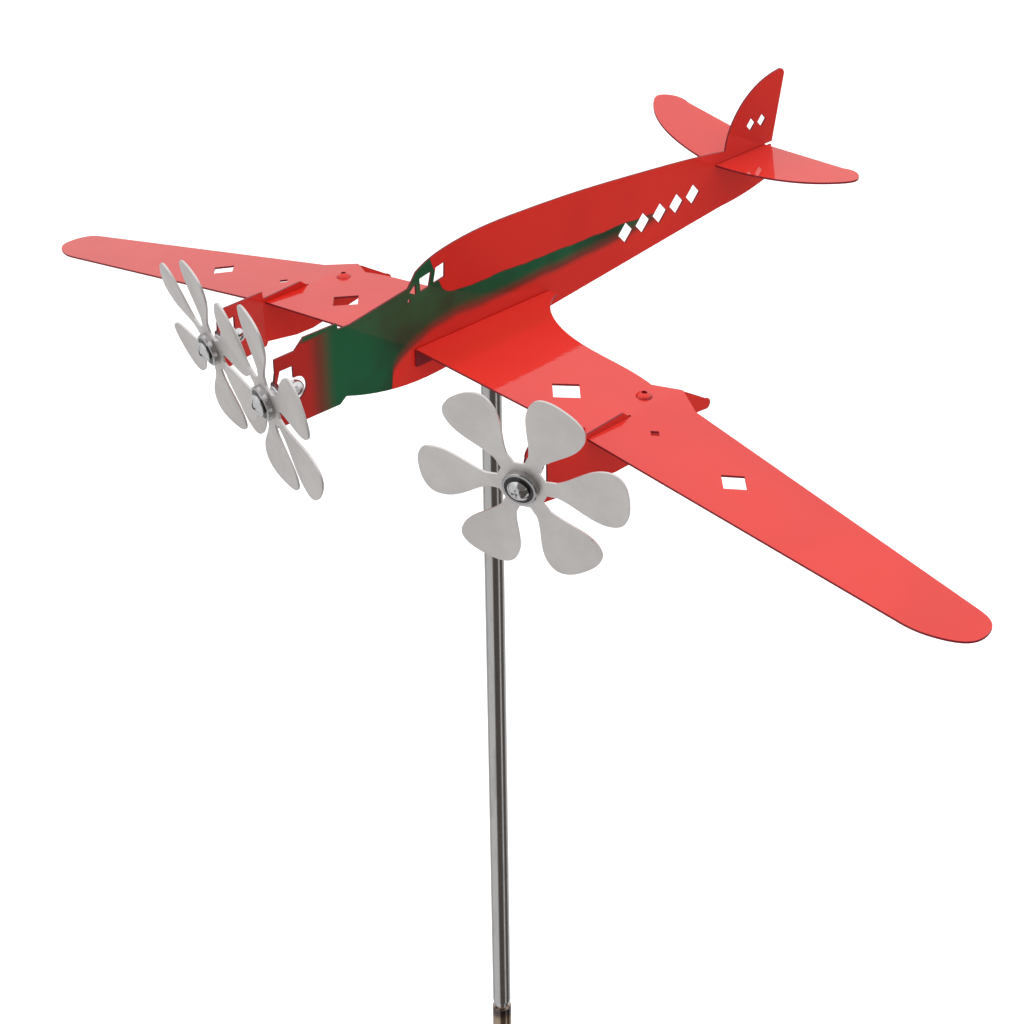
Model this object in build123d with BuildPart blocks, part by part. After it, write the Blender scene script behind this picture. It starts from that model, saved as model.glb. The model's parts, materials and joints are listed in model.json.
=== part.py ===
from build123d import *
import math
import os

# Wind-driven three-engined aircraft on a garden pole. Millimetres.
# -Y is the aircraft's nose, +X its port wing, +Z up.
# Pieces are drawn with Z = 0 level with the wing's top face beside the engine plates.
# save() lifts each one so that the origin of the files is on the pole's axis at the ground.

# Driving dimensions
SHEET = 1.0                 # cut steel sheet of the airframe
BLADE_SHEET = 1.0           # cut steel sheet of the propellers
SLOT_GAP = 0.2              # total play of a slot over a sheet edge

ENGINE_X = 105.0            # engine plate's distance from the fuselage
WING_LE = -49.5             # wing's straight leading edge
WING_SPAN_HALF = 293.0
WING_ROOT_Z = 8.5           # top face of the wing at the fuselage
WING_TIP_Z = -25.5          # top face of the wing at the tip
ROOT_FLANGE = 9.0           # height of the flange folded down at the root

TAIL_Z = 36.3               # middle of the tailplane sheet
TAIL_SPAN_HALF = 66.0
TAIL_RISE = 13.0            # degrees, starboard half of the tailplane
TAIL_LE = 165.5
TAIL_TE = 207.0
TAIL_SLOT_END = 186.0       # where the tailplane's slot meets the fuselage's

EAR_R = 6.5                 # round ear that carries a propeller screw
NECK = 2.8                  # width of the twisted neck above and below an ear
NECK_BITE = 1.0             # overlap of a neck with the plate and the ear
NECK_EASE = 0.1             # a neck's root is this much slimmer than the plate
NOSE_EAR = (0.0, -129.5, 14.2)
NOSE_LEAN = (-16.5, 11.5)   # degrees, propeller axis towards port and below level
PORT_LEAN = (19.0, 10.5)
STARBOARD_LEAN = (-14.0, 13.5)
PORT_TOE = 3.5              # degrees, front of the engine plate towards the fuselage
STARBOARD_TOE = 12.0
TOE_LINE = -51.0            # bend line of the toe-in
ENGINE_EAR_REACH = 33.0     # from the bend line to the ear
PORT_EAR = (0.0, -5.5)      # offset of the ear outboard of its plate, height
STARBOARD_EAR = (-1.5, -7.5)

SCREW_R = 2.5               # M5 propeller screws
BEARING_R = 8.0             # 5 x 16 x 5 ball bearing
BEARING_W = 5.0
INNER_RACE_R = 4.25
OUTER_RACE_R = 6.7
BALL_R = 1.2
BALL_COUNT = 8
SHIELD = 0.4
WASHER = 1.0
WASHER_R = 5.0
SPACER = 2.6
SPACER_R = 3.75
BLADE_COUNT = 6
BLADE_TIP = 48.0
BLADE_TILT = -4.0           # degrees
BLADE_TURN = {"nose": 19.5, "port": 2.5, "starboard": 22.5}   # degrees at rest
HUB_FLAT = 11.0             # centre to the flat that each blade neck leaves from

POLE_R = 5.0
POLE_WALL = 1.0
POLE_TOP = -26.0
SECTION = 393.0             # visible length of one pole section
SPIGOT = 35.0               # swaged end that sits in the next section
SPIGOT_R = 4.3
LOWER_R = 5.3
SPIKE_R = 3.5
SPIKE_LENGTH = 200.0
SPIKE_POINT = 30.0
SPIKE_COLLAR = 4.0
SPIKE_HIDDEN = 40.0         # length pressed into the lower section
PIVOT_R = 2.5               # yaw spindle
PIVOT_PLAY = 0.05           # radial

M4_R = 2.0                  # engine plate screws
M3_R = 1.5                  # wing root screws
SCREW_PLAY = 0.1            # radial play of a screw in a sheet hole
SEAT_GAP = 0.05             # gap left between an engine plate's tab and the wing
ROOT_SCREWS = ((-34.0, 2.6), (-9.0, 2.6), (9.0, 2.6), (32.0, 2.6))


TAPER = 4.0                 # length of the swage between a section and its spigot
MOUTH_GAP = 0.5             # from the swage's small end down to the next section's mouth
section_end = POLE_TOP - SECTION
taper_end = section_end - TAPER
mouth = taper_end - MOUTH_GAP
lower_end = mouth - SECTION
GROUND = lower_end - SPIKE_COLLAR
os.makedirs("parts", exist_ok=True)


def save(piece, name):
    """Lift one finished piece above the ground, label it and write its STEP file."""
    lifted = piece.part.moved(Location((0, 0, -GROUND)))
    lifted.label = name
    export_step(lifted, f"parts/{name}.step")


def axle_plane(centre, lean):
    """Plane on an ear, with +Z forward along the propeller screw and +Y upwards.

    lean is the screw's yaw towards port and its dip below level, in degrees.
    """
    yaw, dip = (math.radians(angle) for angle in lean)
    forward = Vector(
        math.sin(yaw) * math.cos(dip), -math.cos(yaw) * math.cos(dip), -math.sin(dip)
    )
    return Plane(origin=centre, x_dir=Vector(0, 0, 1).cross(forward), z_dir=forward)


def engine_toe(side):
    """Toe-in of one engine plate in radians; side is +1 to port, -1 to starboard."""
    return math.radians(PORT_TOE if side > 0 else STARBOARD_TOE)


def engine_plate_at_ear(side):
    """Point of one engine plate, seen from above, where its ear's necks start."""
    toe = engine_toe(side)
    inward = ENGINE_EAR_REACH * math.sin(toe)
    return side * (ENGINE_X - inward), TOE_LINE - ENGINE_EAR_REACH * math.cos(toe)


def engine_ear(side):
    """Centre of the ear on one engine plate."""
    x, y = engine_plate_at_ear(side)
    outboard, height = PORT_EAR if side > 0 else STARBOARD_EAR
    return x + side * outboard, y, height


def twisted_ear(centre, lean, plate_at, plate_dir, z_low, z_high):
    """Round ear on two necks that twist and bend from the plate's plane to the screw's."""
    plane = axle_plane(centre, lean)
    across = plane.x_dir
    if across.dot(plate_dir) < 0:
        across = across * -1
    up = Vector(0, 0, 1)
    with BuildPart() as ear:
        with BuildSketch(plane):
            Circle(EAR_R)
        extrude(amount=SHEET / 2, both=True)
        for z_end, side in ((z_high, 1), (z_low, -1)):
            outward = plane.y_dir * side
            rim = Plane(plane.origin + outward * EAR_R, x_dir=across, z_dir=outward)
            with BuildSketch(rim):
                Rectangle(NECK, SHEET)
            extrude(amount=-2 * NECK_BITE)
            root = Plane((*plate_at, z_end + side * NECK_BITE / 2), x_dir=plate_dir, z_dir=up * side)
            with BuildSketch(rim):
                Rectangle(NECK, SHEET)
            with BuildSketch(root):
                Rectangle(NECK - NECK_EASE, SHEET - NECK_EASE)
            loft()
        with Locations(plane.location):
            Hole(SCREW_R + 0.1, depth=4 * SHEET)
    return ear.part


def wing_height(x):
    """Top face of the wing at a distance x from the fuselage."""
    if x <= ENGINE_X:
        return WING_ROOT_Z * (1 - x / ENGINE_X)
    return WING_TIP_Z * (x - ENGINE_X) / (WING_SPAN_HALF - ENGINE_X)


# ---------------------------------------------------------------- fuselage plate
NOSE_BAR_END = NOSE_EAR[1] - NECK / 2
CUT_PAST = 10.0             # how far a cut runs past the edge that it opens
WINDOW_LOW = 3.2
WINDOW_HIGH = 25.4
WINDOW_REAR = -121.0
DIAMOND_ROW = [(96.0 + 13.0 * step, 20.7 + 1.3 * step) for step in range(5)]

with BuildPart() as fuselage_flat:
    with BuildSketch(Plane.YZ):
        with BuildLine():
            cowl_top = Polyline(
                (NOSE_BAR_END, 31.6), (-119.5, 31.8), (-114, 36.4), (-95, 36.3),
                (-94.5, 33.4), (-87.3, 33.2), (-52, 38.6), (-46.9, 45.0),
            )
            back = Spline(
                cowl_top @ 1, (-38, 48.9), (-24.8, 51.8), (-5.5, 53.7), (21, 53.8),
                (62.6, 52.2), (106.6, 48.9), (154.3, 44.4), (173.5, 41.9),
            )
            fin_front = Spline(back @ 1, (178.5, 55.3), (188.2, 65.4), (202.1, 72.5), (215.5, 75.2))
            fin_tip = RadiusArc(fin_front @ 1, (220.3, 72.2), 4.0)
            rear_edge = Line(fin_tip @ 1, (208.6, 17.4))
            tail_heel = Spline(rear_edge @ 1, (196.6, 15.0), (171.6, 12.6))
            belly_rear = Line(tail_heel @ 1, (41.5, -0.5))
            belly = Spline(
                belly_rear @ 1, (10, -4.2), (-27.6, -7.6), (-46.4, -8.2), (-71.3, -5.4), (-91.7, 0.1),
            )
            Polyline(
                belly @ 1, (-95.5, -2.6), (-117.7, -2.4), (-120.5, -0.9),
                (NOSE_BAR_END, -0.9), (NOSE_BAR_END, 31.6),
            )
        make_face()
        with Locations(((NOSE_BAR_END - CUT_PAST + WINDOW_REAR) / 2, (WINDOW_LOW + WINDOW_HIGH) / 2)):
            Rectangle(WINDOW_REAR - NOSE_BAR_END + CUT_PAST, WINDOW_HIGH - WINDOW_LOW, mode=Mode.SUBTRACT)
        with Locations((WINDOW_REAR, NOSE_EAR[2])):
            SlotOverall(14, 11, mode=Mode.SUBTRACT)
        for pane in (
            ((-34.8, 43.4), (-29.0, 44.6), (-29.4, 37.4), (-36.6, 36.2)),
            ((-45.0, 41.2), (-37.4, 42.6), (-39.2, 35.6), (-44.6, 34.6)),
            ((-47.4, 39.8), (-47.2, 34.2), (-51.4, 36.4)),
        ):
            with BuildLine():
                Polyline(*pane, close=True)
            make_face(mode=Mode.SUBTRACT)
        with Locations((-51.7, 32.6)):
            Circle(0.9, mode=Mode.SUBTRACT)
        with Locations(DIAMOND_ROW):
            RegularPolygon(5.5, 4, mode=Mode.SUBTRACT)
        with Locations((194, 51), (203, 51)):
            RegularPolygon(3.6, 4, mode=Mode.SUBTRACT)
        with Locations((TAIL_TE, TAIL_Z)):
            Rectangle(2 * (TAIL_TE - TAIL_SLOT_END), SHEET + 3 * SLOT_GAP, mode=Mode.SUBTRACT)
        with Locations(*ROOT_SCREWS):
            Circle(M3_R + SCREW_PLAY, mode=Mode.SUBTRACT)
    extrude(amount=SHEET / 2, both=True)

nose_ear = twisted_ear(NOSE_EAR, NOSE_LEAN, NOSE_EAR[:2], Vector(0, -1, 0), WINDOW_LOW, WINDOW_HIGH)

with BuildPart() as fuselage_plate:
    add(fuselage_flat.part)
    add(nose_ear)
save(fuselage_plate, "fuselage_plate")


# ---------------------------------------------------------------- wing halves
ENGINE_SLOT_END = -21.0     # rear end of the slot that takes the engine plate
BUMP = ((93.5, 6.6), (106.0, 13.4), (121.0, 4.0))
WING_SCREW = (98.0, -3.8)
WING_CUTS = ((72.0, -26.0, 8.5), (121.0, -23.5, 2.6), (166.0, -25.7, 7.0))


def wing_screw_plane(side):
    """Plane on the wing's top face at the screw that holds the engine plate's tab."""
    normal = Vector(side * WING_ROOT_Z / ENGINE_X, 0, 1).normalized()
    origin = (side * WING_SCREW[0], WING_SCREW[1], wing_height(WING_SCREW[0]))
    return Plane(origin=origin, x_dir=(normal.Z, 0, -normal.X), z_dir=normal)


def wing_half(side):
    """One wing half: a bent sheet section trimmed to the plan outline."""
    section_plane = Plane.XZ.offset(-60)
    with BuildPart() as wing:
        with BuildSketch(section_plane):
            with BuildLine():
                inner_face = SHEET / 2
                tip_x = WING_SPAN_HALF + 5
                Polyline(
                    (side * inner_face, WING_ROOT_Z - ROOT_FLANGE),
                    (side * inner_face, wing_height(inner_face)),
                    (side * ENGINE_X, wing_height(ENGINE_X)),
                    (side * tip_x, wing_height(tip_x)),
                    (side * tip_x, wing_height(tip_x) - SHEET),
                    (side * ENGINE_X, wing_height(ENGINE_X) - SHEET),
                    (side * (inner_face + SHEET), wing_height(inner_face + SHEET) - SHEET),
                    (side * (inner_face + SHEET), WING_ROOT_Z - ROOT_FLANGE),
                    close=True,
                )
            make_face()
        extrude(amount=120)
        with BuildSketch(Plane.XY.offset(-60)) as plan:
            with BuildLine():
                leading = Line((0, WING_LE), (side * 266, WING_LE))
                tip = Spline(
                    leading @ 1, (side * 281, -45.8), (side * 291.5, -36.5), (side * 292, -26.5),
                    (side * 282, -18.7), tangents=((side, 0), (-side, 0.14)),
                )
                trailing = Line(tip @ 1, (side * 136, 1.9))
                bump_out = Line(trailing @ 1, (side * BUMP[2][0], BUMP[2][1]))
                bump_tip = Line(bump_out @ 1, (side * BUMP[1][0], BUMP[1][1]))
                bump_in = Line(bump_tip @ 1, (side * BUMP[0][0], BUMP[0][1]))
                root_fillet = Spline(
                    bump_in @ 1, (side * 72, 9.6), (side * 46, 11.6), (side * 27, 17.5), (side * 13, 27.5),
                    (side * 6.0, 39.5),
                )
                Polyline(root_fillet @ 1, (0, 39.5), (0, WING_LE))
            make_face()
            with Locations((side * ENGINE_X, (WING_LE - 2 + ENGINE_SLOT_END) / 2)):
                Rectangle(SHEET + SLOT_GAP, ENGINE_SLOT_END - WING_LE + 2, mode=Mode.SUBTRACT)
            for x, y, size in WING_CUTS:
                with Locations((side * x, y)):
                    RegularPolygon(size, 4, mode=Mode.SUBTRACT)
        extrude(amount=120, mode=Mode.INTERSECT)
        bends = wing.edges().filter_by(Axis.Y).filter_by_position(
            Axis.Z, WING_ROOT_Z - 0.3, WING_ROOT_Z + 0.1
        )
        fillet(bends, radius=SHEET)
        for y, z in ROOT_SCREWS:
            with Locations(Plane((side * 3, y, z), x_dir=(0, 1, 0), z_dir=(side, 0, 0)).location):
                Hole(M3_R + SCREW_PLAY, depth=4)
        with Locations(wing_screw_plane(side).location):
            Hole(M4_R + SCREW_PLAY, depth=3)
    return wing


wing_port = wing_half(1)
save(wing_port, "wing_port")
wing_starboard = wing_half(-1)
save(wing_starboard, "wing_starboard")


# ---------------------------------------------------------------- tailplane
def tail_half(plane):
    """One half of the tailplane; the plane's X runs outboard and its Y aft."""
    with BuildPart() as half:
        with BuildSketch(plane):
            with BuildLine():
                front = Spline(
                    (0, TAIL_LE), (20, 166.4), (37, 170.5), (52, 178.5), (61.5, 187.5),
                    (TAIL_SPAN_HALF, 196.5), (62.5, 203.2), (52, 205.3),
                )
                back = Line(front @ 1, (0, TAIL_TE))
                Line(back @ 1, front @ 0)
            make_face()
            with Locations((0, (TAIL_LE + TAIL_SLOT_END) / 2 - 2)):
                Rectangle(SHEET + 3 * SLOT_GAP, TAIL_SLOT_END - TAIL_LE + 4, mode=Mode.SUBTRACT)
        extrude(amount=SHEET / 2, both=True)
    return half.part


rise = math.radians(TAIL_RISE)
tail_port_half = tail_half(Plane(origin=(0, 0, TAIL_Z), x_dir=(1, 0, 0), z_dir=(0, 0, 1)))
tail_starboard_half = tail_half(
    Plane(
        origin=(0, 0, TAIL_Z),
        x_dir=(-math.cos(rise), 0, math.sin(rise)),
        z_dir=(-math.sin(rise), 0, -math.cos(rise)),
    )
)
with BuildPart() as tailplane:
    add(tail_port_half)
    add(tail_starboard_half)
    with BuildSketch(Plane.XZ.offset(-TAIL_TE)):
        with Locations((0, TAIL_Z)):
            Circle(SHEET / 2)
    extrude(amount=TAIL_TE - TAIL_SLOT_END)
save(tailplane, "tailplane")


# ---------------------------------------------------------------- engine plates
FRONT_WINDOW_REAR = 22.0    # reach of the front window's rear edge
FRONT_WINDOW_HALF = 9.0     # from the ear's centre to the window's top and bottom
PLATE_KEEL = -23.4          # lowest edge of the plate's front
PLATE_CROWN = 5.4           # top edge where the front begins
TAB_R = 6.0
TAB_REACH = 8.0             # from the plate to the middle of the tab's round end
RIDGE_UNDER = -SHEET - 0.25         # top edge where the plate runs under the wing


def engine_plate(side):
    """Upright plate through the wing, with a toed-in front and a folded screw tab."""
    toe = engine_toe(side)
    front_dir = Vector(-side * math.sin(toe), -math.cos(toe), 0)
    front_plane = Plane(
        origin=(side * ENGINE_X, TOE_LINE, 0),
        x_dir=front_dir,
        z_dir=front_dir.cross(Vector(0, 0, 1)),
    )
    tab_plane = wing_screw_plane(side).offset(-SHEET - SEAT_GAP - SHEET / 2)
    ear_centre = engine_ear(side)
    window_low = ear_centre[2] - FRONT_WINDOW_HALF
    window_high = ear_centre[2] + FRONT_WINDOW_HALF
    nose_end = ENGINE_EAR_REACH + NECK / 2
    lean = PORT_LEAN if side > 0 else STARBOARD_LEAN
    ear = twisted_ear(
        ear_centre, lean, engine_plate_at_ear(side), front_dir, window_low, window_high
    )
    with BuildPart() as plate:
        with BuildSketch(Plane.YZ.offset(side * ENGINE_X)):
            with BuildLine():
                keel = Polyline(
                    (24, -15.6), (-20, -23.8), (-31, -23.8), (-49.3, -21.2), (-50.4, -23.3),
                    (TOE_LINE, PLATE_KEEL), (TOE_LINE, PLATE_CROWN), (-50.3, 1.7),
                )
                tail_top = Polyline(
                    keel @ 1, (-26.0, 3.1), (-22.2, 0.2), (-22.0, RIDGE_UNDER),
                    (14.5, RIDGE_UNDER), (31.5, -11.2),
                )
                tail_end = ThreePointArc(tail_top @ 1, (34.0, -14.2), (30.5, -16.2))
                Line(tail_end @ 1, keel @ 0)
            make_face()
        extrude(amount=SHEET / 2, both=True)
        with BuildSketch(front_plane):
            with BuildLine():
                crown = Line((0, PLATE_CROWN), (26, window_high + 6.5))
                cheek = ThreePointArc(
                    crown @ 1, (31.8, window_high + 5.3), (nose_end, window_high + 1.3)
                )
                Polyline(
                    cheek @ 1, (nose_end, window_low - 3.7), (nose_end - 2.2, window_low - 5.9),
                    (0, PLATE_KEEL), crown @ 0,
                )
            make_face()
            window_length = nose_end + CUT_PAST - FRONT_WINDOW_REAR
            with Locations((FRONT_WINDOW_REAR + window_length / 2, ear_centre[2])):
                Rectangle(window_length, 2 * FRONT_WINDOW_HALF, mode=Mode.SUBTRACT)
        extrude(amount=SHEET / 2, both=True)
        with BuildSketch(Plane.XY.offset(PLATE_KEEL)):
            with Locations((side * ENGINE_X, TOE_LINE)):
                Circle(SHEET / 2)
        extrude(amount=PLATE_CROWN - PLATE_KEEL)
        with BuildSketch(tab_plane):
            Circle(TAB_R)
            with Locations((side * TAB_REACH / 2, 0)):
                Rectangle(TAB_REACH, 2 * TAB_R)
        extrude(amount=SHEET / 2, both=True)
        with Locations(tab_plane.location):
            Hole(M4_R + SCREW_PLAY, depth=2)
        add(ear)
    return plate


nacelle_port = engine_plate(1)
save(nacelle_port, "nacelle_plate_port")
nacelle_starboard = engine_plate(-1)
save(nacelle_starboard, "nacelle_plate_starboard")


# ---------------------------------------------------------------- airframe fasteners
def cap_middle(r, height):
    """Middle point of the round cap that rises from radius r to a height on the axis."""
    sphere_r = (r * r + height * height) / (2 * height)
    angle = math.asin(r / sphere_r) / 2
    return sphere_r * math.sin(angle), height - sphere_r * (1 - math.cos(angle))


def button_screw(radius, head_r, head_h, length, key):
    """Button-head screw, head seat at Z = 0, shank towards -Z."""
    with BuildPart() as screw:
        with BuildSketch(Plane.XZ):
            with BuildLine():
                seat = Polyline((0, -length), (radius, -length), (radius, 0), (head_r, 0))
                dome = ThreePointArc(seat @ 1, cap_middle(head_r, head_h), (0, head_h))
                Line(dome @ 1, seat @ 0)
            make_face()
        revolve(axis=Axis.Z)
        with BuildSketch(Plane.XY.offset(head_h + 0.1)):
            RegularPolygon(key / 2, 6, major_radius=False)
        extrude(amount=-head_h * 0.65, mode=Mode.SUBTRACT)
    return screw.part


def hex_nut(bore_r, across_flats, height):
    """Plain nut, top face at Z = 0, body towards -Z."""
    with BuildPart() as nut:
        with BuildSketch(Plane.XY.offset(-height)):
            RegularPolygon(across_flats / 2, 6, major_radius=False)
            Circle(bore_r, mode=Mode.SUBTRACT)
        extrude(amount=height)
        chamfer(nut.edges().filter_by(GeomType.LINE).filter_by(Plane.XY).group_by(Axis.Z)[0], 0.3)
    return nut.part


m4_screw = button_screw(M4_R, 3.8, 2.2, 8.0, 2.5)
m4_nut = hex_nut(M4_R, 7.0, 3.2)
m3_screw = button_screw(M3_R, 2.85, 1.65, 8.0, 2.0)
m3_long_screw = button_screw(M3_R, 2.85, 1.65, 17.0, 2.0)
m3_nut = hex_nut(M3_R, 5.5, 2.4)
wing_screw_planes = [wing_screw_plane(side) for side in (1, -1)]
nut_drop = 2 * SHEET + SEAT_GAP

with BuildPart() as nacelle_screws:
    for plane in wing_screw_planes:
        with Locations(plane.location):
            add(m4_screw)
save(nacelle_screws, "nacelle_screws")

with BuildPart() as nacelle_nuts:
    for plane in wing_screw_planes:
        with Locations(plane.offset(-nut_drop).location):
            add(m4_nut)
save(nacelle_nuts, "nacelle_nuts")

flange_face = SHEET / 2 + SHEET
end_screws = (ROOT_SCREWS[0], ROOT_SCREWS[3])
yoke_screws = (ROOT_SCREWS[1], ROOT_SCREWS[2])


def port_face(x, y, z):
    """Plane facing port at a point."""
    return Plane(origin=(x, y, z), x_dir=(0, 1, 0), z_dir=(1, 0, 0))


with BuildPart() as flange_screws:
    for y, z in end_screws:
        with Locations(port_face(flange_face, y, z).location):
            add(m3_screw)
save(flange_screws, "wing_root_screws")

with BuildPart() as flange_nuts:
    for y, z in end_screws:
        with Locations(port_face(-flange_face, y, z).location):
            add(m3_nut)
save(flange_nuts, "wing_root_nuts")


# ---------------------------------------------------------------- pivot yoke and spindle
YOKE_HALF_X = 6.5
YOKE_HALF_Y = 14.0
YOKE_TOP = 5.9
YOKE_FLOOR = -8.2
YOKE_BASE = -18.0
YOKE_BOSS_R = 6.0
BOSS_END = POLE_TOP + 2.0
SPINDLE_TOP = -10.0
SPINDLE_END = -82.0
yoke_slot_half = flange_face + 0.1

with BuildPart() as pivot_yoke:
    with BuildSketch(Plane.XY.offset(YOKE_BASE)):
        RectangleRounded(2 * YOKE_HALF_X, 2 * YOKE_HALF_Y, 3)
    extrude(amount=YOKE_TOP - YOKE_BASE)
    with BuildSketch(Plane.XZ.offset(-YOKE_HALF_Y - 1)):
        with Locations((0, (YOKE_TOP + 1 + YOKE_FLOOR) / 2)):
            Rectangle(2 * yoke_slot_half, YOKE_TOP + 1 - YOKE_FLOOR)
    extrude(amount=2 * YOKE_HALF_Y + 2, mode=Mode.SUBTRACT)
    with BuildSketch(Plane.XY.offset(BOSS_END)):
        Circle(YOKE_BOSS_R)
    extrude(amount=YOKE_BASE - BOSS_END)
    with BuildSketch(Plane.XY.offset(BOSS_END)):
        Circle(PIVOT_R)
    extrude(amount=SPINDLE_TOP - BOSS_END, mode=Mode.SUBTRACT)
    for y, z in yoke_screws:
        with Locations(port_face(YOKE_HALF_X, y, z).location):
            Hole(M3_R + SCREW_PLAY, depth=2 * YOKE_HALF_X)
save(pivot_yoke, "pivot_yoke")

with BuildPart() as yoke_bolts:
    for y, z in yoke_screws:
        with Locations(port_face(YOKE_HALF_X, y, z).location):
            add(m3_long_screw)
save(yoke_bolts, "yoke_screws")

with BuildPart() as yoke_nuts:
    for y, z in yoke_screws:
        with Locations(port_face(-YOKE_HALF_X, y, z).location):
            add(m3_nut)
save(yoke_nuts, "yoke_nuts")

with BuildPart() as pivot_spindle:
    with BuildSketch(Plane.XY.offset(SPINDLE_END)):
        Circle(PIVOT_R)
    extrude(amount=SPINDLE_TOP - SPINDLE_END)
    chamfer(pivot_spindle.edges().filter_by(GeomType.CIRCLE), 0.6)
save(pivot_spindle, "pivot_spindle")

with BuildPart() as thrust_washer:
    with BuildSketch(Plane.XY.offset(BOSS_END - WASHER + SEAT_GAP)):
        Circle(WASHER_R)
        Circle(PIVOT_R + PIVOT_PLAY, mode=Mode.SUBTRACT)
    extrude(amount=WASHER - SEAT_GAP)
save(thrust_washer, "thrust_washer")


# ---------------------------------------------------------------- pole
TUBE_BORE = POLE_R - POLE_WALL
UPPER_BUSH_LENGTH = 20.0
LOWER_BUSH = (-76.0, 12.0)
spigot_bore = SPIGOT_R - POLE_WALL
socket_bore = SPIGOT_R + 0.05

with BuildPart() as upper_bush:
    with BuildSketch(Plane.XY.offset(POLE_TOP - UPPER_BUSH_LENGTH)):
        Circle(TUBE_BORE)
    extrude(amount=UPPER_BUSH_LENGTH)
    with BuildSketch(Plane.XY.offset(POLE_TOP)):
        Circle(POLE_R)
    extrude(amount=1.0)
    with BuildSketch(Plane.XY.offset(POLE_TOP + 1.0)):
        Circle(PIVOT_R + PIVOT_PLAY)
    extrude(amount=-UPPER_BUSH_LENGTH - 1.0, mode=Mode.SUBTRACT)
save(upper_bush, "pivot_bush_upper")

with BuildPart() as lower_bush:
    with BuildSketch(Plane.XY.offset(LOWER_BUSH[0])):
        Circle(TUBE_BORE)
        Circle(PIVOT_R + PIVOT_PLAY, mode=Mode.SUBTRACT)
    extrude(amount=LOWER_BUSH[1])
save(lower_bush, "pivot_bush_lower")

with BuildPart() as pole_upper:
    with BuildSketch(Plane.XZ):
        with BuildLine():
            Polyline(
                (TUBE_BORE, POLE_TOP), (POLE_R, POLE_TOP), (POLE_R, section_end),
                (SPIGOT_R, taper_end), (SPIGOT_R, taper_end - SPIGOT),
                (spigot_bore, taper_end - SPIGOT), (spigot_bore, taper_end),
                (TUBE_BORE, section_end), close=True,
            )
        make_face()
    revolve(axis=Axis.Z)
save(pole_upper, "pole_upper")

with BuildPart() as pole_lower:
    with BuildSketch(Plane.XZ):
        with BuildLine():
            Polyline(
                (socket_bore, mouth), (LOWER_R - 0.3, mouth), (LOWER_R, mouth - 0.6),
                (LOWER_R, lower_end), (socket_bore, lower_end), close=True,
            )
        make_face()
    revolve(axis=Axis.Z)
save(pole_lower, "pole_lower")

with BuildPart() as ground_spike:
    with BuildSketch(Plane.XZ):
        with BuildLine():
            Polyline(
                (0, lower_end + SPIKE_HIDDEN), (socket_bore, lower_end + SPIKE_HIDDEN),
                (socket_bore, lower_end), (LOWER_R, lower_end), (LOWER_R, GROUND),
                (SPIKE_R, GROUND), (SPIKE_R, GROUND - SPIKE_LENGTH + SPIKE_POINT),
                (0.8, GROUND - SPIKE_LENGTH), (0, GROUND - SPIKE_LENGTH), close=True,
            )
        make_face()
    revolve(axis=Axis.Z)
save(ground_spike, "ground_spike")


# ---------------------------------------------------------------- propeller hardware
# Drawn along +Z from an ear's middle plane, then placed on each ear.
axle_planes = {
    "nose": axle_plane(NOSE_EAR, NOSE_LEAN),
    "port": axle_plane(engine_ear(1), PORT_LEAN),
    "starboard": axle_plane(engine_ear(-1), STARBOARD_LEAN),
}
ear_face = SHEET / 2
spacer_start = ear_face + WASHER
bearing_start = spacer_start + SPACER
bearing_end = bearing_start + BEARING_W
nut_seat = -ear_face - WASHER
PAN_HEAD_R = 4.9
PAN_HEAD_RIM = 1.0
PAN_HEAD_CAP = 2.4
DRIVE_LENGTH = 4.2
DRIVE_WIDTH = 0.9
DRIVE_FLOOR = 2.0           # height of the cross recess's floor above the head's seat
CAP_NUT_FLATS = 8.0
CAP_NUT_DOME_R = 3.7
CAP_NUT_HEX = 4.0
CAP_NUT_LENGTH = 10.5
SCREW_TIP = nut_seat - 8.0


def ring(outer_r, inner_r, z_start, length):
    """Plain ring along Z."""
    with BuildPart() as piece:
        with BuildSketch(Plane.XY.offset(z_start)):
            Circle(outer_r)
            Circle(inner_r, mode=Mode.SUBTRACT)
        extrude(amount=length)
    return piece.part


with BuildPart() as pan_screw:
    with BuildSketch(Plane.XZ):
        with BuildLine():
            shank = Polyline(
                (0, SCREW_TIP), (SCREW_R, SCREW_TIP), (SCREW_R, bearing_end),
                (PAN_HEAD_R, bearing_end), (PAN_HEAD_R, bearing_end + PAN_HEAD_RIM),
            )
            cap_r, cap_z = cap_middle(PAN_HEAD_R, PAN_HEAD_CAP)
            cap_base = bearing_end + PAN_HEAD_RIM
            dome = ThreePointArc(shank @ 1, (cap_r, cap_base + cap_z), (0, cap_base + PAN_HEAD_CAP))
            Line(dome @ 1, shank @ 0)
        make_face()
    revolve(axis=Axis.Z)
    with BuildSketch(Plane.XY.offset(bearing_end + DRIVE_FLOOR)):
        Rectangle(DRIVE_LENGTH, DRIVE_WIDTH)
        Rectangle(DRIVE_WIDTH, DRIVE_LENGTH)
    extrude(amount=3, mode=Mode.SUBTRACT)

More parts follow.
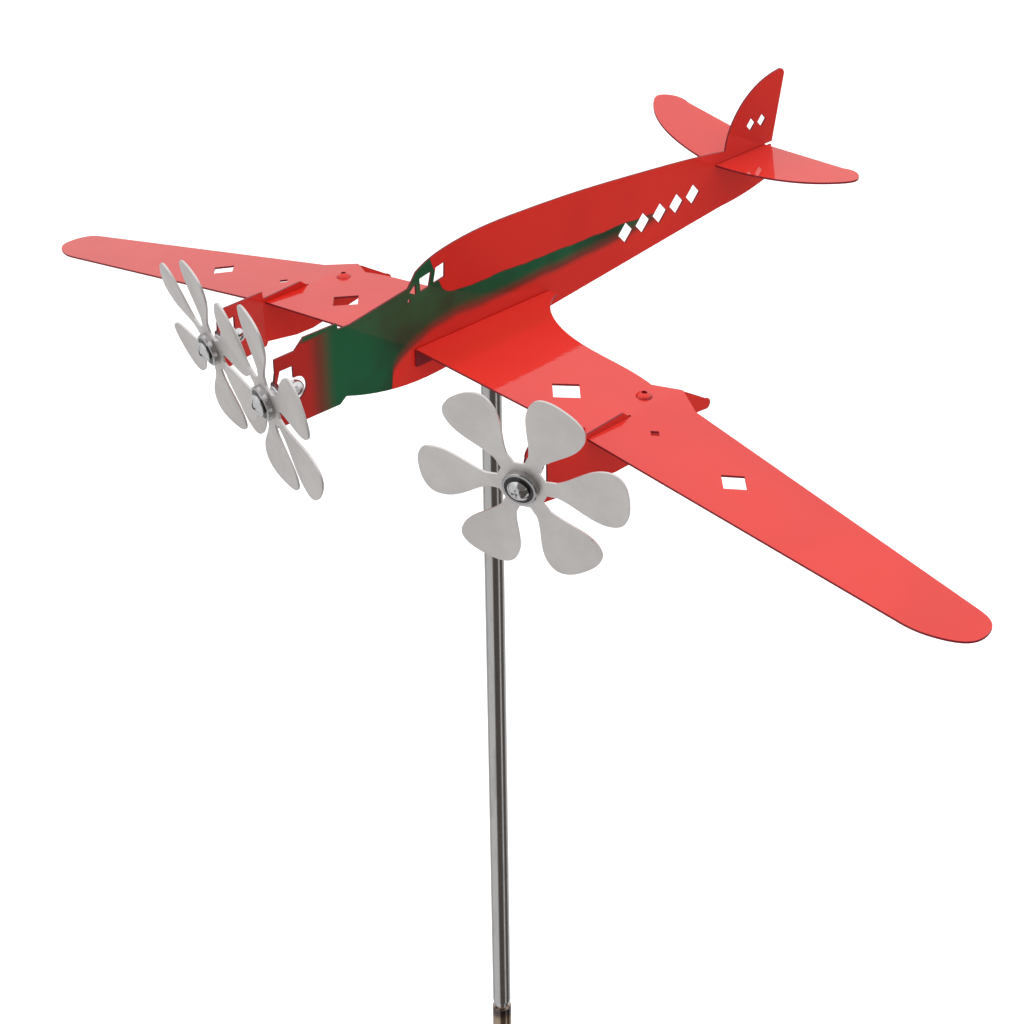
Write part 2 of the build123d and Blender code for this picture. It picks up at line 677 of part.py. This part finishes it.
with BuildPart() as cap_nut:
    with BuildSketch(Plane.XY.offset(nut_seat)):
        RegularPolygon(CAP_NUT_FLATS / 2, 6, major_radius=False)
    extrude(amount=-CAP_NUT_HEX)
    with BuildSketch(Plane.XZ):
        with BuildLine():
            dome_start = nut_seat - CAP_NUT_HEX + 1.0
            dome_centre = nut_seat - CAP_NUT_LENGTH + CAP_NUT_DOME_R
            side_line = Polyline(
                (0, dome_start), (CAP_NUT_DOME_R, dome_start), (CAP_NUT_DOME_R, dome_centre)
            )
            diagonal = CAP_NUT_DOME_R * math.sqrt(0.5)
            dome = ThreePointArc(
                side_line @ 1, (diagonal, dome_centre - diagonal), (0, dome_centre - CAP_NUT_DOME_R)
            )
            Line(dome @ 1, side_line @ 0)
        make_face()
    revolve(axis=Axis.Z)
    with BuildSketch(Plane.XY.offset(nut_seat)):
        Circle(SCREW_R)
    extrude(amount=SCREW_TIP - nut_seat - 0.3, mode=Mode.SUBTRACT)

front_washer = ring(WASHER_R, SCREW_R + SCREW_PLAY, ear_face, WASHER)
rear_washer = ring(WASHER_R, SCREW_R + SCREW_PLAY, -ear_face - WASHER, WASHER)
spacer_sleeve = ring(SPACER_R, SCREW_R + SCREW_PLAY, spacer_start, SPACER)
inner_race = ring(INNER_RACE_R, SCREW_R, bearing_start, BEARING_W)


def at_every_axle(*pieces):
    """The same loose pieces on all three ears, as one group."""
    with BuildPart() as group:
        for plane in axle_planes.values():
            with Locations(plane.location):
                for piece in pieces:
                    add(piece)
    return group


save(at_every_axle(pan_screw.part), "axle_screws")
save(at_every_axle(cap_nut.part), "cap_nuts")
save(at_every_axle(front_washer, rear_washer), "axle_washers")
save(at_every_axle(spacer_sleeve), "axle_spacers")
save(at_every_axle(inner_race), "bearing_inner_races")


# ---------------------------------------------------------------- propellers
DISC_BACK = bearing_start + 0.8
disc_middle = DISC_BACK + BLADE_SHEET / 2
NECK_END = 16.0
NECK_WIDTH = 7.2
tilt = math.radians(BLADE_TILT)
bearing_middle = bearing_start + BEARING_W / 2
ball_circle = (INNER_RACE_R + OUTER_RACE_R) / 2

with BuildPart() as blade:
    for radius, lean in ((HUB_FLAT, 0.0), (NECK_END, tilt)):
        across = (0, math.cos(lean), math.sin(lean))
        with BuildSketch(Plane((radius, 0, disc_middle), x_dir=across, z_dir=(1, 0, 0))):
            Rectangle(NECK_WIDTH, BLADE_SHEET)
    loft()
    leaf_plane = Plane((0, 0, disc_middle), x_dir=(1, 0, 0), z_dir=(0, -math.sin(tilt), math.cos(tilt)))
    half_neck = NECK_WIDTH / 2
    with BuildSketch(leaf_plane):
        with BuildLine():
            leaf = Spline(
                (NECK_END, -half_neck), (22, -6.4), (30, -11.0), (38, -13.4), (44, -12.0),
                (47.3, -6.6), (BLADE_TIP, 0), (47.3, 6.6), (44, 12.0), (38, 13.4), (30, 11.0),
                (22, 6.4), (NECK_END, half_neck),
            )
            Line(leaf @ 1, leaf @ 0)
        make_face()
    extrude(amount=BLADE_SHEET / 2, both=True)

# The hub's outline runs straight from each neck to the next.
hub_corner_r = math.hypot(HUB_FLAT, NECK_WIDTH / 2)
hub_corner_angle = math.degrees(math.atan2(NECK_WIDTH / 2, HUB_FLAT))
hub_corners = []
for blade_angle in range(0, 360, 360 // BLADE_COUNT):
    for side in (-1, 1):
        angle = math.radians(blade_angle + side * hub_corner_angle)
        hub_corners.append((hub_corner_r * math.cos(angle), hub_corner_r * math.sin(angle)))

with BuildPart() as blade_wheel:
    with BuildSketch(Plane.XY.offset(DISC_BACK)):
        with BuildLine():
            Polyline(*hub_corners, close=True)
        make_face()
    extrude(amount=BLADE_SHEET)
    with PolarLocations(0, BLADE_COUNT):
        add(blade.part)
    with BuildSketch(Plane.XY.offset(DISC_BACK - 4)):
        Circle(BEARING_R)
    extrude(amount=BLADE_SHEET + 8, mode=Mode.SUBTRACT)

with BuildPart() as outer_race:
    add(ring(BEARING_R, OUTER_RACE_R, bearing_start, BEARING_W))
    chamfer(outer_race.edges().filter_by(GeomType.CIRCLE).group_by(SortBy.RADIUS)[-1], 0.35)

with BuildPart() as shields:
    add(ring(OUTER_RACE_R, INNER_RACE_R + 0.1, bearing_start + 0.1, SHIELD))
    add(ring(OUTER_RACE_R, INNER_RACE_R + 0.1, bearing_end - 0.1 - SHIELD, SHIELD))

with BuildPart() as balls:
    with Locations((0, 0, bearing_middle)):
        with PolarLocations(ball_circle, BALL_COUNT):
            Sphere(BALL_R)

wheel_pieces = {
    "propeller": blade_wheel.part,
    "bearing_race": outer_race.part,
    "bearing_shields": shields.part,
    "bearing_balls": balls.part,
}
for engine, plane in axle_planes.items():
    for piece_name, piece in wheel_pieces.items():
        with BuildPart() as placed:
            with Locations(plane.location * Rotation(0, 0, BLADE_TURN[engine])):
                add(piece)
        save(placed, f"{engine}_{piece_name}")
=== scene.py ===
import json
import math

import bpy
from mathutils import Matrix, Vector


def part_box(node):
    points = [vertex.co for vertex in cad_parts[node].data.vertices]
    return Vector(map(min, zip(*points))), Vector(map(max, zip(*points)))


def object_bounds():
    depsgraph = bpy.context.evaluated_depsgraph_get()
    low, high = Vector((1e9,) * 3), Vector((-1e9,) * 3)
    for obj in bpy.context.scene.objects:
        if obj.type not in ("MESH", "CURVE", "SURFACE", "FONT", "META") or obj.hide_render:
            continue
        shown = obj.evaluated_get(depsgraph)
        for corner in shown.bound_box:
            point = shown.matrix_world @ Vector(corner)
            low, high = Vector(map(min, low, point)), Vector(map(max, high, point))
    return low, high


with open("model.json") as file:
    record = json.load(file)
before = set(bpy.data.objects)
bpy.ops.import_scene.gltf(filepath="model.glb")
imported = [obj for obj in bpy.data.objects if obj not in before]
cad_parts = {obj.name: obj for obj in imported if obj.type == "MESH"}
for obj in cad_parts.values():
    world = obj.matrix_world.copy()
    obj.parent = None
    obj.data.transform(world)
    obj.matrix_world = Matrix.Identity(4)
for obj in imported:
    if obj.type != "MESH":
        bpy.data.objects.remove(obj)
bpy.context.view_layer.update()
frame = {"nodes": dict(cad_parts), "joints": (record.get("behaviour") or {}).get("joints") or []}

SCENE = bpy.context.scene
NODES = frame["nodes"]
JOINTS = {joint["name"]: joint for joint in frame["joints"]}
MM = 0.001
ENGINES = ("nose", "port", "starboard")

# Height of the wing's top face beside the engine plates: the yaw joint sits 30 mm under it.
WING_LEVEL = JOINTS["yaw"]["pos_m"][2] + 30 * MM


# ------------------------------------------------------------------ node helpers
class Shader:
    """A material's node tree with short calls for the nodes that this scene needs."""

    def __init__(self, name):
        self.material = bpy.data.materials.new(name)
        self.material.use_nodes = True
        self.tree = self.material.node_tree
        self.tree.nodes.clear()
        out = self.node("ShaderNodeOutputMaterial")
        self.bsdf = self.node("ShaderNodeBsdfPrincipled")
        self.link(self.bsdf.outputs[0], out.inputs["Surface"])
        coordinates = self.node("ShaderNodeTexCoord").outputs
        self.place = coordinates["Object"]
        self.surface = coordinates["Normal"]

    def node(self, kind, **settings):
        made = self.tree.nodes.new(kind)
        for key, value in settings.items():
            setattr(made, key, value)
        return made

    def link(self, source, target):
        self.tree.links.new(source, target)

    def put(self, target, value):
        """Set an input to a number or colour, or link a socket to it."""
        if isinstance(value, bpy.types.NodeSocket):
            self.link(value, target)
        elif isinstance(value, (tuple, list)) and len(value) == 3 and target.type == "RGBA":
            target.default_value = (*value, 1)
        else:
            target.default_value = value

    def set(self, **values):
        """Set the main shader's inputs; underscores in a name stand for spaces."""
        for key, value in values.items():
            self.put(self.bsdf.inputs[key.replace("_", " ")], value)

    def math(self, operation, a, b=0.0, clamp=False):
        made = self.node("ShaderNodeMath", operation=operation, use_clamp=clamp)
        self.put(made.inputs[0], a)
        self.put(made.inputs[1], b)
        return made.outputs[0]

    def step(self, value, low, high):
        """0 below low, 1 above high, smooth between; low may be the larger one."""
        made = self.node("ShaderNodeMapRange", interpolation_type="SMOOTHSTEP")
        self.put(made.inputs["Value"], value)
        for key, number in (("From Min", low), ("From Max", high), ("To Min", 0.0), ("To Max", 1.0)):
            self.put(made.inputs[key], number)
        return made.outputs[0]

    def noise(self, scale, detail=3.0, stretch=(1, 1, 1), roughness=0.55, place=None):
        """Noise in object space; scale is in features per metre."""
        mapping = self.node("ShaderNodeMapping")
        self.put(mapping.inputs["Vector"], place or self.place)
        mapping.inputs["Scale"].default_value = stretch
        made = self.node("ShaderNodeTexNoise")
        self.put(made.inputs["Vector"], mapping.outputs[0])
        made.inputs["Scale"].default_value = scale
        made.inputs["Detail"].default_value = detail
        made.inputs["Roughness"].default_value = roughness
        return made.outputs["Fac"]

    def specks(self, scale, size, stretch=(1, 1, 1)):
        """Sparse round dots, about one per cell; size is a share of a cell."""
        mapping = self.node("ShaderNodeMapping")
        self.put(mapping.inputs["Vector"], self.place)
        mapping.inputs["Scale"].default_value = stretch
        made = self.node("ShaderNodeTexVoronoi", feature="F1")
        self.put(made.inputs["Vector"], mapping.outputs[0])
        made.inputs["Scale"].default_value = scale
        return self.step(made.outputs["Distance"], size, size * 0.4)

    def mix(self, fac, a, b):
        """Colour a at fac 0 and b at fac 1."""
        made = self.node("ShaderNodeMix", data_type="RGBA")
        self.put(made.inputs["Factor"], fac)
        self.put(made.inputs[6], a)
        self.put(made.inputs[7], b)
        return made.outputs[2]

    def blend(self, fac, a, b):
        """Number a at fac 0 and b at fac 1."""
        made = self.node("ShaderNodeMix", data_type="FLOAT")
        self.put(made.inputs["Factor"], fac)
        self.put(made.inputs[2], a)
        self.put(made.inputs[3], b)
        return made.outputs[0]

    def axes(self, place=None):
        made = self.node("ShaderNodeSeparateXYZ")
        self.put(made.inputs[0], place or self.place)
        return made.outputs

    def bump(self, height, distance, strength=1.0, under=None):
        made = self.node("ShaderNodeBump")
        made.inputs["Strength"].default_value = strength
        made.inputs["Distance"].default_value = distance
        self.put(made.inputs["Height"], height)
        if under is not None:
            self.link(under, made.inputs["Normal"])
        return made.outputs[0]

    def edge(self, radius, sharp=0.25):
        """1 on hard edges, found where a rounded normal leaves the true one."""
        rounded = self.node("ShaderNodeBevel", samples=4)
        rounded.inputs["Radius"].default_value = radius
        true = self.node("ShaderNodeNewGeometry").outputs["Normal"]
        dot = self.node("ShaderNodeVectorMath", operation="DOT_PRODUCT")
        self.link(rounded.outputs[0], dot.inputs[0])
        self.link(true, dot.inputs[1])
        return self.step(dot.outputs["Value"], 1.0 - 0.02, 1.0 - sharp)

    def curve(self, value, points):
        """Number that follows a smooth line through (value, result) points, both from 0 to 1."""
        made = self.node("ShaderNodeFloatCurve")
        line = made.mapping.curves[0]
        line.points[0].location = points[0]
        line.points[1].location = points[-1]
        for point in points[1:-1]:
            line.points.new(*point)
        made.mapping.use_clip = False
        made.mapping.update()
        self.put(made.inputs["Value"], value)
        return made.outputs[0]


# ------------------------------------------------------------------ paint
RED = (0.745, 0.022, 0.012)
RED_DEEP = (0.56, 0.010, 0.008)
RED_SHADE = (0.26, 0.010, 0.010)
FRINGE = (0.19, 0.030, 0.018)
GREEN = (0.010, 0.105, 0.042)
GREEN_DARK = (0.016, 0.045, 0.020)
CUT_EDGE = (0.15, 0.010, 0.020)


# The curves that bound the green run over this stretch of the plate, in mm; Z is from the wing's level.
GREEN_START = -130
GREEN_LENGTH = 300
GREEN_BOTTOM = -10
GREEN_HEIGHT = 70


def fuselage_green(s):
    """Share of airbrushed green on the fuselage plate, from its place along Y and Z."""
    _, y, z = s.axes()
    along = s.math("DIVIDE", s.math("SUBTRACT", y, GREEN_START * MM), GREEN_LENGTH * MM)
    bottom = WING_LEVEL + GREEN_BOTTOM * MM
    height = s.math("DIVIDE", s.math("SUBTRACT", z, bottom), GREEN_HEIGHT * MM)

    def bound(points):
        return s.curve(along, [
            ((y_mm - GREEN_START) / GREEN_LENGTH, (z_mm - GREEN_BOTTOM) / GREEN_HEIGHT)
            for y_mm, z_mm in points
        ])

    low = bound((
        (-130, -10), (-66, -9), (-63, 5), (-54, 11.3), (-45, 15.1), (-34, 18.2), (-22, 19.2),
        (0, 19.2), (33, 20.2), (88, 21.8), (135, 23.6), (170, 24),
    ))
    high = bound((
        (-130, 58), (-44, 58), (-38, 48), (-33, 37), (-28, 30.5), (-18, 28.4), (6, 27.9),
        (47, 27.0), (88, 26.2), (112, 25.2), (135, 24.0), (170, 23.5),
    ))
    drift = s.math("MULTIPLY", s.math("SUBTRACT", s.noise(60, 1), 0.5), 0.03)
    above = s.step(s.math("ADD", s.math("SUBTRACT", height, low), drift), -0.10, 0.07)
    below = s.step(s.math("ADD", s.math("SUBTRACT", high, height), drift), -0.006, 0.014)
    ahead = s.step(y, -116.8 * MM, -92.4 * MM)
    tail_end = s.step(y, 142 * MM, 100 * MM)
    band = s.math("MULTIPLY", s.math("MULTIPLY", above, below), s.math("MULTIPLY", ahead, tail_end))
    streak_height = s.step(z, WING_LEVEL + 33.0 * MM, WING_LEVEL + 35.2 * MM)
    streak_ends = s.math("MULTIPLY", s.step(y, -120 * MM, -113 * MM), s.step(y, -88 * MM, -94 * MM))
    streak = s.math("MULTIPLY", s.math("MULTIPLY", streak_height, streak_ends), 0.85)
    return s.math("MAXIMUM", band, streak)


def paint(name, face_axis, green=False):
    """Sprayed gloss paint on cut sheet: dark edges, orange peel, dust nibs and overspray.

    face_axis is the axis that the sheet's faces point along, 0 for X and 2 for Z.
    """
    s = Shader(name)
    cloud = s.noise(14, 2)
    colour = s.mix(s.math("MULTIPLY", s.step(cloud, 0.35, 0.7), 0.35), RED, RED_DEEP)
    coat = 1.0
    if green:
        _, y, _ = s.axes()
        share = fuselage_green(s)
        spatter = s.math("MULTIPLY", s.specks(420, 0.16), s.step(share, 0.02, 0.35))
        share = s.math("SUBTRACT", share, s.math("MULTIPLY", spatter, 0.10), clamp=True)
        nose_shade = s.math("MULTIPLY", s.step(y, -92 * MM, -100 * MM), 0.55)
        colour = s.mix(nose_shade, colour, RED_SHADE)
        green_tone = s.mix(s.step(s.noise(22, 3), 0.42, 0.72), GREEN, GREEN_DARK)
        colour = s.mix(s.step(share, 0.0, 0.42), colour, FRINGE)
        colour = s.mix(s.step(share, 0.30, 0.95), colour, green_tone)
        coat = s.blend(s.step(share, 0.3, 0.9), 1.0, 0.4)
    facing = s.math("ABSOLUTE", s.axes(s.surface)[face_axis])
    rim = s.math("MULTIPLY", s.step(facing, 0.75, 0.45), 0.9)
    colour = s.mix(rim, colour, CUT_EDGE)
    coat = s.math("MULTIPLY", coat, s.blend(rim, 1.0, 0.2))
    nibs = s.specks(75, 0.05)
    peel = s.bump(s.noise(420, 2), 0.05 * MM, 0.35)
    nib_bump = s.bump(nibs, 0.12 * MM, 0.5, under=peel)
    s.set(
        Base_Color=colour, Roughness=s.blend(s.noise(60, 3), 0.35, 0.5), Metallic=0.0,
        Coat_Weight=coat, Coat_Roughness=s.blend(s.noise(35, 2), 0.012, 0.04), Coat_IOR=1.5,
        Specular_IOR_Level=0.12, Normal=nib_bump,
    )
    s.put(s.bsdf.inputs["Coat Normal"], peel)
    return s.material


# ------------------------------------------------------------------ metals
def blade_steel(name):
    """Cut stainless sheet, dull from tumbling, with smears, dark pits and brighter edges."""
    s = Shader(name)
    smear = s.noise(38, 4, roughness=0.65)
    fine = s.noise(2600, 2, stretch=(1, 1, 0.12))
    tone = s.mix(s.step(smear, 0.30, 0.72), (0.73, 0.700, 0.685), (0.85, 0.820, 0.805))
    tone = s.mix(s.math("MULTIPLY", s.specks(60, 0.035), 0.55), tone, (0.20, 0.18, 0.17))
    tone = s.mix(s.math("MULTIPLY", s.edge(0.4 * MM), 0.5), tone, (0.72, 0.71, 0.70))
    s.set(
        Base_Color=tone, Metallic=0.85, Roughness=s.blend(smear, 0.42, 0.56),
        Specular_IOR_Level=0.5, Normal=s.bump(fine, 0.02 * MM, 0.25, under=s.bump(smear, 0.25 * MM, 0.2)),
    )
    return s.material


def polished(name, tone=(0.80, 0.80, 0.81), rough=(0.06, 0.16)):
    """Bright plated or polished steel with fingerprints."""
    s = Shader(name)
    prints = s.noise(240, 4)
    colour = s.mix(s.step(prints, 0.4, 0.75), tone, tuple(c * 0.86 for c in tone))
    s.set(
        Base_Color=colour, Metallic=1.0, Roughness=s.blend(prints, *rough),
        Normal=s.bump(s.noise(1500, 2), 0.008 * MM, 0.3),
    )
    return s.material


def turned(name, tone, rough=(0.25, 0.42)):
    """Turned or stamped plated metal with fine marks and patches of grime."""
    s = Shader(name)
    marks = s.noise(1800, 3, stretch=(1, 0.25, 1))
    grime = s.step(s.noise(300, 4), 0.52, 0.8)
    colour = s.mix(s.math("MULTIPLY", grime, 0.5), tone, tuple(c * 0.4 for c in tone))
    s.set(
        Base_Color=colour, Metallic=0.95, Roughness=s.blend(marks, *rough),
        Normal=s.bump(marks, 0.015 * MM, 0.4),
    )
    return s.material


def pole_steel(name, joint_z):
    """Polished stainless tube: drawn lines along it, rub marks and heat colour at the joint."""
    s = Shader(name)
    _, _, z = s.axes()
    drawn = s.noise(2200, 2, stretch=(1, 1, 0.01))
    rubs = s.noise(180, 4, stretch=(1, 1, 0.25))
    tone = s.mix(s.step(rubs, 0.45, 0.75), (0.66, 0.65, 0.64), (0.56, 0.55, 0.54))
    below = s.math("SUBTRACT", joint_z, z)
    ragged = s.math("ADD", below, s.math("MULTIPLY", s.math("SUBTRACT", s.noise(260, 3), 0.5), 6 * MM))
    straw = s.math("MULTIPLY", s.step(ragged, -3 * MM, 2 * MM), s.step(ragged, 26 * MM, 5 * MM))
    blue = s.math("MULTIPLY", s.step(ragged, -1 * MM, 1.5 * MM), s.step(ragged, 9 * MM, 3 * MM))
    tone = s.mix(s.math("MULTIPLY", straw, 0.75), tone, (0.42, 0.24, 0.10))
    tone = s.mix(s.math("MULTIPLY", blue, 0.8), tone, (0.05, 0.045, 0.07))
    s.set(
        Base_Color=tone, Metallic=1.0, Roughness=s.blend(rubs, 0.10, 0.24),
        Anisotropic=0.5, Normal=s.bump(drawn, 0.01 * MM, 0.35),
    )
    return s.material


def dress(node, material):
    """Give a CAD node's object one material."""
    slots = NODES[node].data.materials
    slots.clear()
    slots.append(material)


def dress_all():
    level_sheet = paint("red_gloss_paint_level", 2)
    for node in ("wing_port", "wing_starboard", "tailplane", "nacelle_screws"):
        dress(node, level_sheet)
    upright_sheet = paint("red_gloss_paint_upright", 0)
    for node in ("nacelle_plate_port", "nacelle_plate_starboard"):
        dress(node, upright_sheet)
    dress("fuselage_plate", paint("red_green_gloss_paint", 0, green=True))
    chrome = polished("bright_screw_steel")
    race = polished("ground_race_steel", (0.52, 0.51, 0.51), (0.05, 0.12))
    shield = turned("dark_shield_steel", (0.075, 0.072, 0.075), (0.22, 0.38))
    zinc = turned("zinc_plate", (0.58, 0.58, 0.59))
    bronze = turned("sintered_bronze", (0.55, 0.34, 0.15), (0.35, 0.55))
    spindle = polished("ground_spindle_steel", (0.62, 0.62, 0.64), (0.14, 0.26))
    for node in ("axle_screws", "cap_nuts", "axle_washers"):
        dress(node, chrome)
    for node in ("nacelle_nuts", "wing_root_screws", "wing_root_nuts", "yoke_screws", "yoke_nuts",
                 "axle_spacers", "pivot_yoke"):
        dress(node, zinc)
    for node in ("thrust_washer", "pivot_bush_upper", "pivot_bush_lower"):
        dress(node, bronze)
    dress("pivot_spindle", spindle)
    dress("bearing_inner_races", race)
    for engine in ENGINES:
        dress(f"{engine}_propeller", blade_steel(f"{engine}_blade_steel"))
        dress(f"{engine}_bearing_race", race)
        dress(f"{engine}_bearing_shields", shield)
        dress(f"{engine}_bearing_balls", race)
    upper_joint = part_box("pole_lower")[1].z
    lower_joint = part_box("pole_lower")[0].z
    dress("pole_upper", pole_steel("pole_upper_steel", upper_joint))
    dress("pole_lower", pole_steel("pole_lower_steel", upper_joint))
    dress("ground_spike", pole_steel("ground_spike_steel", lower_joint))


# ------------------------------------------------------------------ stage
CAMERA_OFFSET = (0.6151, -0.6242, 0.4063)   # from the pole axis at the wing's level
CAMERA_AZIMUTH = 43.98
CAMERA_ELEVATION = 29.93
CAMERA_ROLL = -0.69
CAMERA_LENS = 71.95


def build_floor():
    """Plain pale floor under the spike's tip."""
    low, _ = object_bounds()
    bpy.ops.mesh.primitive_plane_add(size=16, location=(0, 0, low[2] - 0.001))
    floor = bpy.context.object
    floor.name = "floor"
    s = Shader("pale_floor")
    seen = s.node("ShaderNodeLightPath").outputs["Is Camera Ray"]
    s.set(
        Base_Color=(0.90, 0.90, 0.90), Roughness=0.9, Specular_IOR_Level=0.1,
        Emission_Color=(1.0, 1.0, 1.0), Emission_Strength=s.math("MULTIPLY", seen, 0.45),
    )
    floor.data.materials.append(s.material)
    floor.visible_glossy = False


def build_world():
    """White backdrop, softer light from the sides, and a dark room in low reflections."""
    world = bpy.data.worlds.new("studio")
    SCENE.world = world
    world.use_nodes = True
    s = Shader.__new__(Shader)
    s.tree = world.node_tree
    s.tree.nodes.clear()
    s.place = s.node("ShaderNodeTexCoord").outputs["Generated"]
    x, y, z = s.axes()
    # Angle around the object, 0 towards the camera and positive to the picture's right.
    turn = s.math("ARCTAN2", y, x)
    turn = s.math("SUBTRACT", turn, math.radians(CAMERA_AZIMUTH - 90))
    low = s.step(z, 0.02, -0.18)
    dark = s.step(turn, math.radians(-26), math.radians(-16))
    dark = s.math("MULTIPLY", dark, s.step(turn, math.radians(50), math.radians(44)))
    side = s.math("MULTIPLY", s.step(turn, math.radians(60), math.radians(66)),
                  s.step(turn, math.radians(118), math.radians(104)))
    edge = s.math("MULTIPLY", s.step(turn, math.radians(-126), math.radians(-120)),
                  s.step(turn, math.radians(-108), math.radians(-114)))
    dark = s.math("MAXIMUM", dark, s.math("MAXIMUM", side, s.math("MULTIPLY", edge, 0.7)))
    dark = s.math("MULTIPLY", dark, low)
    facing = s.node("ShaderNodeVectorMath", operation="DOT_PRODUCT")
    s.put(facing.inputs[0], s.place)
    facing.inputs[1].default_value = Vector(CAMERA_OFFSET).normalized()
    photographer = s.step(facing.outputs["Value"], 0.72, 0.88)
    dark = s.math("MAXIMUM", dark, s.math("MULTIPLY", photographer, 0.9))
    sky = s.mix(s.step(z, 0.05, 0.65), (0.62, 0.62, 0.62), (1.0, 1.0, 1.0))
    room = s.mix(dark, sky, (0.095, 0.080, 0.072))
    soft = s.mix(s.step(z, -0.25, 0.9), (0.12, 0.12, 0.12), (1.14, 1.14, 1.14))
    rays = s.node("ShaderNodeLightPath").outputs
    seen = s.mix(rays["Is Glossy Ray"], soft, room)
    seen = s.mix(rays["Is Camera Ray"], seen, (1.0, 1.0, 1.0))
    background = s.node("ShaderNodeBackground")
    s.put(background.inputs["Color"], seen)
    out = s.node("ShaderNodeOutputWorld")
    s.link(background.outputs[0], out.inputs[0])


def area_light(name, location, target, size, power):
    data = bpy.data.lights.new(name, "AREA")
    data.shape = "DISK"
    data.size = size
    data.energy = power
    light = bpy.data.objects.new(name, data)
    SCENE.collection.objects.link(light)
    light.visible_glossy = False
    light.location = location
    light.rotation_euler = (Vector(target) - Vector(location)).to_track_quat("-Z", "Y").to_euler()


def build_lights():
    centre = (0, 0, WING_LEVEL)
    area_light("key", (0.4, -0.9, WING_LEVEL + 1.9), centre, 1.6, 13)
    area_light("fill", (1.8, -0.6, WING_LEVEL + 0.5), centre, 1.2, 1)


def build_camera():
    data = bpy.data.cameras.new("camera")
    data.lens = CAMERA_LENS
    data.sensor_width = 36
    data.clip_start = 0.02
    camera = bpy.data.objects.new("camera", data)
    SCENE.collection.objects.link(camera)
    azimuth, elevation, roll = (
        math.radians(angle) for angle in (CAMERA_AZIMUTH, CAMERA_ELEVATION, CAMERA_ROLL)
    )
    back = Vector((
        math.sin(azimuth) * math.cos(elevation), -math.cos(azimuth) * math.cos(elevation),
        math.sin(elevation),
    ))
    right = Vector((math.cos(azimuth), math.sin(azimuth), 0))
    up = back.cross(right)
    turn = Matrix.Rotation(roll, 4, back)
    axes = Matrix((turn @ right, turn @ up, back)).transposed().to_4x4()
    camera.matrix_world = Matrix.Translation(Vector(CAMERA_OFFSET) + Vector((0, 0, WING_LEVEL))) @ axes
    SCENE.camera = camera


dress_all()
build_floor()
build_world()
build_lights()
build_camera()
SCENE.view_settings.view_transform = "Standard"
